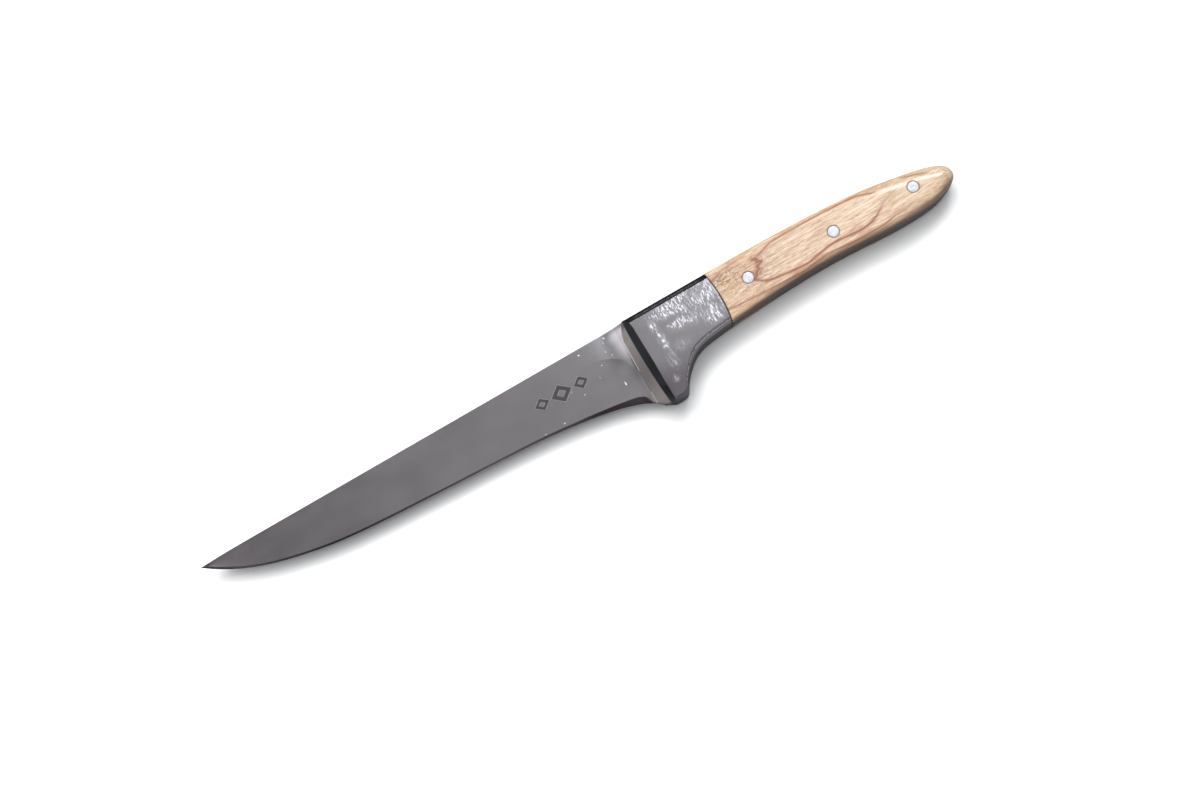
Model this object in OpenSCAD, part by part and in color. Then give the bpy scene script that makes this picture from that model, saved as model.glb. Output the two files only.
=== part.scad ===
// Boning knife: one steel forging with blade, bolster and full tang, two wooden scales, three pins.
// The knife lies on its side. The tip points to -X, the spine to +Y, and the lower cheeks lie on Z = 0.
// The origin is under the middle of the object's box.

/* [Blade] */
// Length from the tip to the front of the bolster
blade_length = 160; // [150:1:170]
// Thickness of the spine at the bolster
spine_thickness = 2.6; // [2:0.1:3.4]
// Thickness of the spine at the tip
tip_thickness = 0.8; // [0.6:0.1:1.2]
// Thickness of the ground edge itself
edge_thickness = 0.2; // [0.1:0.05:0.4]
// Share of the spine's thickness that is left where the edge bevel begins
bevel_share = 0.36; // [0.3:0.02:0.5]

/* [Bolster] */
// Length of the bolster from its front to the seam with the scales
bolster_length = 35.1; // [33.5:0.1:36.5]
// Height of the bolster's toe, from the spine down to the end of the finger guard
guard_height = 32; // [31:0.5:33]
// Length of the sloping collar between the blade and the front chamfer
collar_length = 3.3; // [2.5:0.1:3.6]
// Length of the steep front chamfer
chamfer_length = 2; // [1:0.1:2.4]
// Rounding of the bolster's upper edges
bolster_round = 1.5; // [0.8:0.1:2]

/* [Handle] */
// Thickness of the handle and the bolster, from cheek to cheek
handle_thickness = 12.5; // [11:0.1:14]
// Length of the handle from the bolster's front to its end
handle_length = 122.4; // [118:0.2:126]
// Thickness of the tang
tang_thickness = 4.4; // [3:0.1:5]
// Rounding of the scales' edges in the middle of the grip
grip_round = 3; // [2:0.1:3.2]

/* [Pins] */
// Diameter of the three pins and their bores
pin_diameter = 3.8; // [3:0.1:5]

/* [Hidden] */
$fn = 48;

steel = [0.56, 0.54, 0.56];
wood = [0.83, 0.66, 0.44];
bright = [0.86, 0.87, 0.92];

// Drawing frame: x from the tip to the butt, y = 0 on the spine, z = 0 in the blade's middle plane.
half = handle_thickness / 2;
half_tang = tang_thickness / 2;
total_length = blade_length + handle_length;
drawn_blade = 160;
drawn_handle = 122.4;
drawn_guard = 32;
bore_radius = pin_diameter / 2;

// Where a drawn x of the blade or of the handle falls at the chosen lengths
function blade_x(x) = x * blade_length / drawn_blade;
function handle_x(x) = blade_length + (x - drawn_blade) * handle_length / drawn_handle;

// The cutting edge as [x, y, slope], joined by cubics
edge_knots = [
    [0, -0.4, -0.75],
    [12, -7.5, -0.46],
    [30, -13.3, -0.23],
    [49, -16.5, -0.10],
    [80, -18.45, -0.052],
    [112, -20, -0.06],
    [143, -23.55, -0.19],
    [154, -26.4, -0.36],
    [162, -31.2, -0.85]
];

// Height of the edge bevel as [x, height]
bevel_knots = [[0, 0.3], [8, 0.45], [105, 0.4], [133, 0.8], [143, 1.45], [150, 2], [155, 2.9], [162, 3.4]];

// Spine of the blade: straight, with a slight fall over the last stretch to the tip
spine_fall = 0.4;
spine_fall_length = 17;

// Seam between bolster and scales: an arc that bows towards the butt
seam_radius = 45;
seam_y = -10;
seam_x = blade_length + bolster_length;

// Corners of the bolster's front, seen from the side
front_corner_radius = 3.2;
guard_corner_radius = 5;

// Outline of the handle as [x, y, heading], from the seam's top round the butt to the seam's foot
handle_knots = [
    [216, -0.05, -0.6],
    [241, -0.8, -3.2],
    [262, -3.05, -10],
    [275, -5.7, -15],
    [279.5, -7.35, -26],
    [282.4, -11.4, -88],
    [276.5, -16.35, -158],
    [267, -18.05, -177],
    [232, -17, -180]
];
seam_foot_y = -18.7;
seam_foot_heading = -176;

// Underside of the bolster as [x, y, heading], from the seam's foot to the toe
guard_knots = [
    [186, -19.6, -173],
    [177.2, -22.8, -142],
    [172.4, -27.6, -128]
];
toe_x = 170.4;
toe_rise = 1.2;
toe_heading = -128;
toe_bottom_x = 166.3;

// Pins as [x, y]
pin_places = [[206, -8.8], [237.9, -9.7], [268, -10]];

// Rounding over the length of the handle as [x, share of grip_round]
round_knots = [[195, 0.5], [215, 0.8], [235, 1], [270, 1], [282.4, 1.05]];

segment_steps = 8;
round_steps = 5;
seam_steps = 8;

// ---- curves ----

// Cubic through [x, y, slope] knots, read at x
function hermite(k, x, i = 0) =
    (i < len(k) - 2 && x > k[i + 1][0]) ? hermite(k, x, i + 1) :
    let (a = k[i], b = k[i + 1], w = b[0] - a[0], t = (x - a[0]) / w)
    a[1] * (1 + 2 * t) * (1 - t) * (1 - t) + a[2] * w * t * (1 - t) * (1 - t)
    + b[1] * t * t * (3 - 2 * t) - b[2] * w * t * t * (1 - t);

// Point of a cubic from knot a to knot b, each [x, y, heading]
function knot_point(a, b, t) =
    let (
        pull = 0.36 * norm([b[0] - a[0], b[1] - a[1]]),
        p = [a[0], a[1]],
        q = p + pull * [cos(a[2]), sin(a[2])],
        s = [b[0], b[1]],
        r = s - pull * [cos(b[2]), sin(b[2])],
        u = 1 - t
    )
    u * u * u * p + 3 * u * u * t * q + 3 * u * t * t * r + t * t * t * s;

// Points along a row of knots, the last one left out unless it is asked for
function knot_path(k, steps, last = true) = [
    for (i = [0:len(k) - 2], j = [0:steps - 1]) knot_point(k[i], k[i + 1], j / steps),
    if (last) [k[len(k) - 1][0], k[len(k) - 1][1]]
];

// Unit normal at point i of an open path walked clockwise, pointing out
function path_normal(p, i) =
    let (
        a = p[max(i - 1, 0)],
        b = p[min(i + 1, len(p) - 1)],
        d = (b - a) / norm(b - a)
    )
    [-d[1], d[0]];

// x of the seam at a height
function seam_at(y) = seam_x - seam_radius + sqrt(pow(seam_radius, 2) - pow(y - seam_y, 2));

// ---- meshes ----

// Faces of a closed stack of rings with m points each
function stack_faces(n, m) = concat(
    [[for (j = [m - 1:-1:0]) j]],
    [for (i = [0:n - 2], j = [0:m - 1], k = [0:1])
        let (a = i * m + j, b = i * m + (j + 1) % m, c = a + m, d = b + m)
        k == 0 ? [a, b, c] : [b, d, c]],
    [[for (j = [0:m - 1]) (n - 1) * m + j]]
);

module stack(rings) {
    points = [for (r = rings, p = r) p];
    polyhedron(points = points, faces = stack_faces(len(rings), len(rings[0])), convexity = 6);
}

// ---- blade ----

function spine_y(x) = x > spine_fall_length ? 0 : -spine_fall * pow(1 - x / spine_fall_length, 2);
function spine_half(x) = (tip_thickness + (spine_thickness - tip_thickness) * x / drawn_blade) / 2;

// Cross-section of the blade at a drawn x: spine, bevel shoulder and edge on both sides
function blade_section(x) =
    let (
        top = spine_y(x),
        low = min(hermite(edge_knots, x), top - 0.35),
        bevel = min(lookup(x, bevel_knots), 0.5 * (top - low)),
        thick = spine_half(x),
        shoulder = max(thick * bevel_share, edge_thickness / 2 + 0.05),
        edge = edge_thickness / 2,
        px = blade_x(x)
    )
    [
        [px, top, -thick],
        [px, low + bevel, -shoulder],
        [px, low, -edge],
        [px, low, edge],
        [px, low + bevel, shoulder],
        [px, top, thick]
    ];

blade_root = 161.2;
blade_steps = 70;

module blade_body() {
    // Stations lie closer together towards the tip
    stack([for (i = [0:blade_steps]) blade_section(blade_root * pow(i / blade_steps, 1.4))]);
}

// ---- bolster ----

seam_top_x = seam_at(0);
seam_foot_x = seam_at(seam_foot_y);
front_x = blade_length - 0.5;

// Quarter of a rounded corner about c, from angle a to angle b
function corner(c, r, a, b, steps) = [for (i = [0:steps]) c + r * [cos(a + (b - a) * i / steps),
    sin(a + (b - a) * i / steps)]];

// Clockwise outline of the bolster without the seam, from the seam's foot round to the seam's top
bolster_path = concat(
    knot_path(concat(
        [[seam_foot_x, seam_foot_y, seam_foot_heading]],
        [for (k = guard_knots) [handle_x(k[0]), k[1] * guard_height / drawn_guard, k[2]]],
        [[handle_x(toe_x), -guard_height + toe_rise, toe_heading],
         [handle_x(toe_bottom_x), -guard_height, -180],
         [front_x, -guard_height + guard_corner_radius * 0.62, -233]]
    ), segment_steps),
    corner([front_x + front_corner_radius, -front_corner_radius], front_corner_radius, 180, 90, 6),
    [[seam_top_x, 0]]
);

// Rounding at each point of that outline: full on the spine side, small on the front and the toe
function bolster_rounding(p) =
    let (toe = handle_x(toe_x), s = max(0, min(1, (p[0] - toe) / (seam_foot_x - toe))))
    bolster_round * (p[1] > -front_corner_radius / 2 ? 1 : 0.3 + 0.55 * s);

// Ring of the bolster at rounding angle a on one side, 0 where the wall begins and 90 on the cheek
function bolster_ring(a, side) = concat(
    [for (i = [0:len(bolster_path) - 1])
        let (
            p = bolster_path[i],
            r = bolster_rounding(p),
            end = i == 0 || i == len(bolster_path) - 1,
            n = end ? [0, sign(p[1] - seam_y)] : path_normal(bolster_path, i),
            q = p - r * (1 - cos(a)) * n
        )
        [end ? seam_at(q[1]) : q[0], q[1], side * (half - r * (1 - sin(a)))]],
    [for (j = [1:seam_steps - 1])
        let (
            r0 = bolster_rounding([seam_top_x, 0]),
            r1 = bolster_rounding(bolster_path[0]),
            y0 = -r0 * (1 - cos(a)),
            y1 = seam_foot_y + r1 * (1 - cos(a)),
            s = j / seam_steps,
            y = y0 + (y1 - y0) * s
        )
        [seam_at(y), y, side * (half - (r0 + (r1 - r0) * s) * (1 - sin(a)))]]
);

module bolster_body() {
    intersection() {
        stack(concat(
            [for (i = [round_steps:-1:0]) bolster_ring(90 * i / round_steps, -1)],
            [for (i = [0:round_steps]) bolster_ring(90 * i / round_steps, 1)]
        ));
        front_wedge();
    }
}

// The collar and the chamfer, as a profile in XZ that runs down the whole front
wedge_x = front_x + 0.3;
collar_foot = 1.9;
collar_top = half - 2.1;
wedge_reach = 2;
module front_wedge() {
    collar_x = blade_length + collar_length;
    far_x = collar_x + chamfer_length * (half + wedge_reach - collar_top) / (half - collar_top);
    side = [[wedge_x, collar_foot], [collar_x, collar_top], [far_x, half + wedge_reach],
        [seam_x + wedge_reach, half + wedge_reach]];
    translate([0, wedge_reach, 0])
        rotate([90, 0, 0])
            linear_extrude(height = guard_height + 2 * wedge_reach)
                polygon(concat(side, [for (i = [len(side) - 1:-1:0]) [side[i][0], -side[i][1]]]));
}

// ---- handle ----

// Clockwise outline of the handle from the seam's top round the butt to the seam's foot
handle_path = knot_path(concat(
    [[seam_top_x, 0, 0]],
    [for (k = handle_knots) [handle_x(k[0]), k[1], k[2]]],
    [[seam_foot_x, seam_foot_y, seam_foot_heading]]
), segment_steps);

function seam_points(y0, y1) = [
    for (j = [1:seam_steps - 1])
        let (y = y0 + (y1 - y0) * j / seam_steps)
        [seam_at(y), y]
];

module tang_plate() {
    translate([0, 0, -half_tang])
        linear_extrude(height = tang_thickness)
            polygon(concat(handle_path, seam_points(seam_foot_y, 0)));
    // Root of the tang inside the bolster
    translate([seam_x - 6, seam_foot_y + 2, -half_tang])
        cube([6, -seam_foot_y - 4, tang_thickness]);
}

// Inset and height of the rounded edge, from the wall to just above the cheek, in shares of its radius
round_profile = concat(
    [for (a = [0:18:54]) [1 - cos(a), sin(a) - 1]],
    [[0.93, 0.1]]
);

function drawn_x(x) = drawn_blade + (x - blade_length) * drawn_handle / handle_length;

// Ring of a scale at one step [inset, height] of the rounded edge
function scale_ring(step) =
    let (
        count = len(handle_path),
        rounds = [for (p = handle_path) grip_round * lookup(drawn_x(p[0]), round_knots)],
        outer = [for (i = [0:count - 1])
            let (
                p = handle_path[i],
                end = i == 0 || i == count - 1,
                n = end ? [0, i == 0 ? 1 : -1] : path_normal(handle_path, i),
                q = p - rounds[i] * step[0] * n
            )
            [end ? seam_at(q[1]) : q[0], q[1], half + rounds[i] * step[1]]],
        seam = seam_points(outer[count - 1][1], outer[0][1])
    )
    concat(outer, [for (p = seam) [p[0], p[1], outer[0][2]]]);

foot_ring = [for (p = concat(handle_path, seam_points(seam_foot_y, 0))) [p[0], p[1], 0]];

// The rounded outline trims a flat slab that holds the three bores
module scale_body() {
    intersection() {
        stack(concat([foot_ring], [for (step = round_profile) scale_ring(step)]));
        difference() {
            translate([seam_x - 5, seam_foot_y - 5, half_tang])
                cube([handle_length, 10 - seam_foot_y, half - half_tang]);
            pin_bores();
        }
    }
}

module pin_bores() {
    for (p = pin_places)
        translate([handle_x(p[0]), p[1], -handle_thickness])
            cylinder(r = bore_radius, h = 2 * handle_thickness);
}

module pin(i) {
    translate([handle_x(pin_places[i][0]), pin_places[i][1], -half])
        cylinder(d = pin_diameter, h = handle_thickness);
}

// ---- nodes ----

// From the drawing frame to the part's frame
module placed() {
    translate([-total_length / 2, guard_height / 2, half])
        children();
}

module blade() {
    color(steel)
        placed()
            difference() {
                union() {
                    blade_body();
                    bolster_body();
                    tang_plate();
                }
                pin_bores();
            }
}

module front_scale() {
    color(wood)
        placed()
            scale_body();
}

module back_scale() {
    color(wood)
        placed()
            mirror([0, 0, 1])
                scale_body();
}

module front_pin() {
    color(bright)
        placed()
            pin(0);
}

module middle_pin() {
    color(bright)
        placed()
            pin(1);
}

module rear_pin() {
    color(bright)
        placed()
            pin(2);
}

blade();
front_scale();
back_scale();
front_pin();
middle_pin();
rear_pin();
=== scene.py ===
# Boning knife: forged blade with bolster and tang, two wooden scales and three pins.
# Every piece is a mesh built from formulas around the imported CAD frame.
import math

import bpy
import numpy as np
from mathutils import Matrix, Vector


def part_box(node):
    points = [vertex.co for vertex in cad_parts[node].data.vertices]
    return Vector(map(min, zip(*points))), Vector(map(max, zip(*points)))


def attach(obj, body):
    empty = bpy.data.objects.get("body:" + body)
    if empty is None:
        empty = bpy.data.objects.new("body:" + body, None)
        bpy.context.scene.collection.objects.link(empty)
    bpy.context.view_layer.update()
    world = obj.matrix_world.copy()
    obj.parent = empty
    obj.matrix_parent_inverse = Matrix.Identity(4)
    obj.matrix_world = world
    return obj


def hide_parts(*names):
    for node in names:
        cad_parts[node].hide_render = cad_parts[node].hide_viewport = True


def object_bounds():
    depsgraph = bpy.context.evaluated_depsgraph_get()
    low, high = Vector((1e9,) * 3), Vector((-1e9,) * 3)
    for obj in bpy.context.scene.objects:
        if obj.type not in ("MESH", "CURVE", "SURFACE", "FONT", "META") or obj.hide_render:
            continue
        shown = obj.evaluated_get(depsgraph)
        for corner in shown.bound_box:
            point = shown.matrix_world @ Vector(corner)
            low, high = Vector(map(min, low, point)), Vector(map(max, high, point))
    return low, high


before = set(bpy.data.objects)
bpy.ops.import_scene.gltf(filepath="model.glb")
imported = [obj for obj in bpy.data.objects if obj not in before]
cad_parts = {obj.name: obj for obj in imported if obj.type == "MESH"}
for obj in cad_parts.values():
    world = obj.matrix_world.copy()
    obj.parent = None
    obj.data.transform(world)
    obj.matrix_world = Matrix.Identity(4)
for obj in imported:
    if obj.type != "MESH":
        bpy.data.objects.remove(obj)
cad_low, cad_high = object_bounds()

# ---------------------------------------------------------------- drawing frame
# x in mm from the tip, y in mm with 0 on the spine, z in mm with 0 in the blade's middle plane.

MM = 0.001
HALF = (cad_high.z - cad_low.z) / MM / 2
MIDDLE_Z = (cad_high.z + cad_low.z) / 2
TANG_HALF = 2.2


def place(points):
    """Points of the drawing frame as metres in the CAD frame."""
    p = np.asarray(points, dtype=float)
    origin = np.array([cad_low.x, cad_high.y, MIDDLE_Z])
    return p * MM + origin


def drawn(point):
    """A CAD point in drawing millimetres."""
    return (
        (point[0] - cad_low.x) / MM,
        (point[1] - cad_high.y) / MM,
        (point[2] - MIDDLE_Z) / MM,
    )


def pin_centre(node):
    """Drawing x, y and radius of a pin's node."""
    low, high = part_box(node)
    x0, y0, _ = drawn(low)
    x1, y1, _ = drawn(high)
    return (x0 + x1) / 2, (y0 + y1) / 2, (x1 - x0) / 2


PIN_NODES = ["front_pin", "middle_pin", "rear_pin"]
PINS = [pin_centre(node) for node in PIN_NODES]

# ---------------------------------------------------------------- curves

# The cutting edge as [x, y, slope], joined by cubics
EDGE = [
    (0, -0.4, -0.75), (12, -7.5, -0.46), (30, -13.3, -0.23), (49, -16.5, -0.10), (80, -18.45, -0.052),
    (112, -20, -0.06), (143, -23.55, -0.19), (154, -26.4, -0.36), (162, -31.2, -0.85),
]

# Height of the edge bevel as [x, height]; it runs out in front of the bolster
BEVEL = [
    (0, 0.35), (3, 0.8), (10, 0.95), (20, 0.75), (50, 0.6), (105, 0.5), (133, 0.8), (143, 1.3),
    (150, 1.9), (155, 2.6), (156.5, 2.6), (157.6, 2.1), (158.4, 1.2), (158.9, 0.35), (162, 0.3),
]

# Handle outline as [x, y, heading], from the seam's top round the butt to the seam's foot
SEAM_X = 195.1
SEAM_RADIUS = 45
SEAM_Y = -10
SEAM_FOOT = -18.7
HANDLE_TOP = [(216, -0.05, -0.6), (241, -0.8, -3.2), (262, -3.05, -10), (275, -5.7, -15), (279.5, -7.35, -26)]
BUTT = (282.4, -11.4, -88)
HANDLE_LOW = [(276.5, -16.35, -158), (267, -18.05, -177), (232, -17, -180)]

# Underside of the bolster, from the seam's foot to the blade
GUARD = [
    (186, -19.6, -173), (177.2, -22.8, -142), (172.4, -27.6, -128), (170.4, -30.8, -128),
    (166.3, -32, -180), (159.5, -28.9, -233),
]


def seam_at(y):
    """x of the seam between the bolster and the scales, an arc."""
    return SEAM_X - SEAM_RADIUS + np.sqrt(SEAM_RADIUS**2 - (np.asarray(y) - SEAM_Y) ** 2)


def smooth(value, low, high):
    """Smooth step of value from low to high."""
    t = np.clip((value - low) / (high - low), 0, 1)
    return t * t * (3 - 2 * t)


def table(x, rows):
    """Value at x of a table of x and value."""
    return np.interp(x, *np.transpose(rows))


def bell(value, middle, wide):
    """1 at the middle, falling to 0 on both sides."""
    return np.exp(-(((value - middle) / wide) ** 2))


def hermite(knots, x):
    """Cubics through [x, y, slope] knots, read at x."""
    x = np.asarray(x, dtype=float)
    k = np.asarray(knots, dtype=float)
    i = np.clip(np.searchsorted(k[:, 0], x) - 1, 0, len(k) - 2)
    a, b = k[i], k[i + 1]
    w = b[..., 0] - a[..., 0]
    t = (x - a[..., 0]) / w
    u = 1 - t
    return (
        a[..., 1] * (1 + 2 * t) * u * u + a[..., 2] * w * t * u * u
        + b[..., 1] * t * t * (3 - 2 * t) - b[..., 2] * w * t * t * u
    )


def cubic_path(knots, steps, pull=0.36):
    """Points of cubics through [x, y, heading] knots."""
    path = []
    for a, b in zip(knots[:-1], knots[1:]):
        p, s = np.array(a[:2]), np.array(b[:2])
        reach = pull * np.linalg.norm(s - p)
        ha, hb = math.radians(a[2]), math.radians(b[2])
        q = p + reach * np.array([math.cos(ha), math.sin(ha)])
        r = s - reach * np.array([math.cos(hb), math.sin(hb)])
        for t in np.arange(steps) / steps:
            u = 1 - t
            path.append(u**3 * p + 3 * u * u * t * q + 3 * u * t * t * r + t**3 * s)
    path.append(np.array(knots[-1][:2]))
    return np.array(path)


def spline(points, step=0.25):
    """Dense points of a smooth curve through listed points."""
    p = np.asarray(points, dtype=float)
    p = np.vstack([2 * p[0] - p[1], p, 2 * p[-1] - p[-2]])
    dense = []
    for i in range(1, len(p) - 2):
        count = max(2, int(np.linalg.norm(p[i + 1] - p[i]) / step))
        for t in np.arange(count) / count:
            dense.append(
                0.5 * (
                    2 * p[i] + (p[i + 1] - p[i - 1]) * t
                    + (2 * p[i - 1] - 5 * p[i] + 4 * p[i + 1] - p[i + 2]) * t * t
                    + (3 * p[i] - p[i - 1] - 3 * p[i + 1] + p[i + 2]) * t**3
                )
            )
    dense.append(p[-2])
    return np.array(dense)


def resample(path, shares):
    """Points of a path at shares of its length."""
    steps = np.linalg.norm(np.diff(path, axis=0), axis=1)
    along = np.concatenate([[0], np.cumsum(steps)])
    at = np.asarray(shares) * along[-1]
    return np.stack([np.interp(at, along, path[:, 0]), np.interp(at, along, path[:, 1])], axis=1)


def distance_to(path, x, y):
    """Distance of each (x, y) from a path, and how far along the path the nearest place is, 0 to 1."""
    flat_x, flat_y = np.ravel(x), np.ravel(y)
    best = np.full(flat_x.shape, 1e9)
    where = np.zeros(flat_x.shape)
    count = len(path) - 1
    for i in range(count):
        a = path[i]
        d = path[i + 1] - a
        t = np.clip(((flat_x - a[0]) * d[0] + (flat_y - a[1]) * d[1]) / max(d @ d, 1e-12), 0, 1)
        gap = np.hypot(flat_x - a[0] - t * d[0], flat_y - a[1] - t * d[1])
        closer = gap < best
        best = np.where(closer, gap, best)
        where = np.where(closer, (i + t) / count, where)
    return best.reshape(np.shape(x)), where.reshape(np.shape(x))


LINE_STEPS = 24
BUTT_STEPS = 48
GUARD_STEPS = 40
# The step of the butt's second cubic at which the underside begins
BUTT_CORNER = BUTT_STEPS + 30

seam_top = (float(seam_at(0)), 0, 0)
seam_foot = (float(seam_at(SEAM_FOOT)), SEAM_FOOT, -176)
whole_butt = cubic_path([HANDLE_TOP[-1], BUTT, HANDLE_LOW[0]], BUTT_STEPS)
handle_top_path = cubic_path([seam_top] + HANDLE_TOP, LINE_STEPS)
butt_path = whole_butt[: BUTT_CORNER + 1]
handle_low_path = np.vstack([whole_butt[BUTT_CORNER:-1], cubic_path(HANDLE_LOW + [seam_foot], LINE_STEPS)])
handle_outline = np.vstack([handle_top_path, butt_path[1:], handle_low_path[1:]])
guard_path = cubic_path([seam_foot] + GUARD, GUARD_STEPS)

# ---------------------------------------------------------------- meshes


def make_mesh(name, points, quads, attributes=None, sharp_below=None):
    """A smooth-shaded piece from drawing points, quads or triangles, and per-point values."""
    mesh = bpy.data.meshes.new(name)
    places = np.clip(place(points), cad_low, cad_high)
    mesh.from_pydata(places.tolist(), [], [list(map(int, q)) for q in quads])
    mesh.validate()
    for key, values in (attributes or {}).items():
        layer = mesh.attributes.new(key, "FLOAT", "POINT")
        layer.data.foreach_set("value", np.asarray(values, dtype=np.float32).ravel())
    mesh.polygons.foreach_set("use_smooth", [True] * len(mesh.polygons))
    if sharp_below is not None:
        mesh.set_sharp_from_angle(angle=math.radians(sharp_below))
    mesh.update()
    obj = bpy.data.objects.new(name, mesh)
    bpy.context.scene.collection.objects.link(obj)
    return obj


def ring_quads(rings, count):
    """Quads between neighbouring closed rings of count points each."""
    i = np.arange(rings - 1)[:, None]
    j = np.arange(count)[None, :]
    a = i * count + j
    b = i * count + (j + 1) % count
    return np.stack([a, b, b + count, a + count], axis=-1).reshape(-1, 4)


# ---------------------------------------------------------------- blade, bolster and tang

# Blade: half thickness of the spine at the bolster, of the spine at the tip and of the cutting edge,
# the share of the spine's thickness left at the bevel's shoulder, and the spine's fall towards the tip
SPINE_HALF = 1.3
TIP_HALF = 0.4
EDGE_HALF = 0.1
SHOULDER_SHARE = 0.36
SPINE_FALL = 0.4
SPINE_FALL_LENGTH = 17
LEAST_HEIGHT = 0.3

# Bolster: x where the collar, the steep chamfer and the cheek begin, at mid height
COLLAR_X = 160.0
FACET_X = 162.3
CHEEK_X = 164.3
TOE_DEPTH = 31
# How far the collar's front leans towards the tip low down, and its rounded upper corner
COLLAR_LEAN = 0.5
CORNER_HEIGHT = 7.0
CORNER_DEPTH = 2.7
COLLAR_LEAST = 0.12
# The blade's own marks end here, in front of the collar
BLADE_END = 159.2
# From here on the lower edge follows the guard's outline
RIM_FROM = 158
# The crease between collar and chamfer: half thickness at the spine, its fall down to the toe, and
# the bend of its line above and below its foremost point
FACET_TOP = 4.1
FACET_FALL = 1.0
FACET_WAIST_Y = -10
FACET_BEND_ABOVE = 0.0035
FACET_BEND_BELOW = 0.0024
# The cheek's front edge: lean, and how much it swells below the spine and draws in at the toe
CHEEK_LEAN = 0.65
CHEEK_SWELL = 0.55
CHEEK_DRAW = 0.25
# The blade's flare into the collar
FLARE_RISE = 1.2
FLARE_SPINE_RISE = 1.0
FLARE_LENGTH = 9.0
FLARE_POWER = 2.2
# The ricasso stands a little proud of the ground part of the blade
GRIND_SLOPE = 0.02
GRIND_WIDTH = 2.2
RICASSO_FROM, RICASSO_FULL = 138, 150

# Where the ground part of the blade ends in front of the bolster
GRIND_LINE = spline([(134, -7.5), (142, -6.9), (147, -6.8), (150.5, -7.3), (153.5, -8.5), (156, -10.3),
                     (158, -12.2), (159.4, -14.2)])


def spine_y(x):
    """Upper outline of the steel."""
    return -SPINE_FALL * np.clip(1 - x / SPINE_FALL_LENGTH, 0, 1) ** 2


def low_y(x):
    """Lower outline of the steel: cutting edge, then the bolster's toe and guard."""
    edge_end = EDGE[-1][0]
    guard_end = GUARD[-1][0]
    edge = np.where(x < edge_end, hermite(EDGE, np.minimum(x, edge_end)), np.inf)
    guard = np.where(x > guard_end, np.interp(x, guard_path[::-1, 0], guard_path[::-1, 1]), np.inf)
    return np.minimum(np.minimum(edge, guard), spine_y(x) - LEAST_HEIGHT)


def spine_half(x):
    """Half thickness of the spine."""
    return TIP_HALF + (SPINE_HALF - TIP_HALF) * x / COLLAR_X


def blade_half(x, y):
    """Half thickness of the plain ground blade."""
    top = spine_y(x)
    low = low_y(x)
    bevel = np.minimum(table(x, BEVEL), 0.5 * (top - low))
    shoulder = low + bevel
    thick = spine_half(x)
    thin = np.maximum(thick * SHOULDER_SHARE, EDGE_HALF + 0.05)
    across = np.clip((top - y) / (top - shoulder), 0, 1)
    face = thick + (thin - thick) * across
    down = np.clip((shoulder - y) / bevel, 0, 1)
    return np.where(y < shoulder, thin + (EDGE_HALF - thin) * down, face)


def collar_front(y):
    """x of the collar's front, which turns back to the chamfer at the spine."""
    turn = np.clip((y + CORNER_HEIGHT) / CORNER_HEIGHT, 0, 1)
    front = COLLAR_X - COLLAR_LEAN * smooth(-y, 2, 24) + CORNER_DEPTH * turn**2
    return np.minimum(front, facet_x(y) - COLLAR_LEAST)


def facet_x(y):
    """x where the collar ends and the steep chamfer begins."""
    bend = np.where(y > FACET_WAIST_Y, FACET_BEND_ABOVE, FACET_BEND_BELOW)
    return FACET_X + bend * (y - FACET_WAIST_Y) ** 2


def cheek_x(y):
    """x where the steep chamfer meets the cheek."""
    lean = CHEEK_LEAN * y / TOE_DEPTH
    return CHEEK_X - lean + CHEEK_SWELL * smooth(-y, 0, 4) - CHEEK_DRAW * smooth(-y, 16, 28)


def collar_foot(y):
    """Half thickness where the collar rises from the blade."""
    plain = blade_half(np.full_like(y, COLLAR_X), y)
    return plain + FLARE_RISE * smooth(y, -22, -5) + FLARE_SPINE_RISE * smooth(y, -6, 0)


def front_profile(x, y):
    """Half thickness of the collar and the chamfer."""
    start = collar_front(y)
    foot = collar_foot(y)
    crease = FACET_TOP + FACET_FALL * y / TOE_DEPTH
    t = (x - start) / (facet_x(y) - start)
    facet = foot + (crease - foot) * t
    s = (x - facet_x(y)) / (cheek_x(y) - facet_x(y))
    steep = crease + (HALF - crease) * s
    return np.minimum(np.maximum(facet, steep), HALF)


def grind_side(x, y):
    """Height above the grind line, negative below it."""
    gap, _ = distance_to(GRIND_LINE, x, y)
    line_y = np.interp(x, GRIND_LINE[:, 0], GRIND_LINE[:, 1])
    return np.where(y > line_y, gap, -gap)


def steel_half(x, y, side):
    """Half thickness of blade, ricasso, collar and cheek before its edges are rounded."""
    front = collar_front(y)
    before = np.clip(front - x, 0, None)
    rise = collar_foot(y) - blade_half(np.full_like(y, COLLAR_X), y)
    flare = np.clip(1 - before / FLARE_LENGTH, 0, 1) ** FLARE_POWER
    proud = GRIND_SLOPE * np.clip(side, 0, GRIND_WIDTH) * smooth(x, RICASSO_FROM, RICASSO_FULL)
    blade = blade_half(x, y) + rise * flare + proud * (1 - flare)
    return np.where(x < front, blade, front_profile(x, y))


# The columns between these follow the bolster's front edges
SWEEP_START = 150.0
SWEEP_END = 172.0
# The columns behind this one swing over to the seam's arc
SWING_START = 193.5


def swept_x(column, y):
    """x of a column at each height: the columns follow the collar's and the chamfer's edges."""
    edges = [SWEEP_START, COLLAR_X, FACET_X, CHEEK_X, SWEEP_END]
    if not SWEEP_START < column < SWEEP_END:
        return np.full_like(y, column)
    lines = [
        np.full_like(y, SWEEP_START), collar_front(y), facet_x(y), cheek_x(y), np.full_like(y, SWEEP_END),
    ]
    i = int(np.searchsorted(edges, column, side="right")) - 1
    share = (column - edges[i]) / (edges[i + 1] - edges[i])
    return lines[i] + share * (lines[i + 1] - lines[i])


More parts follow.
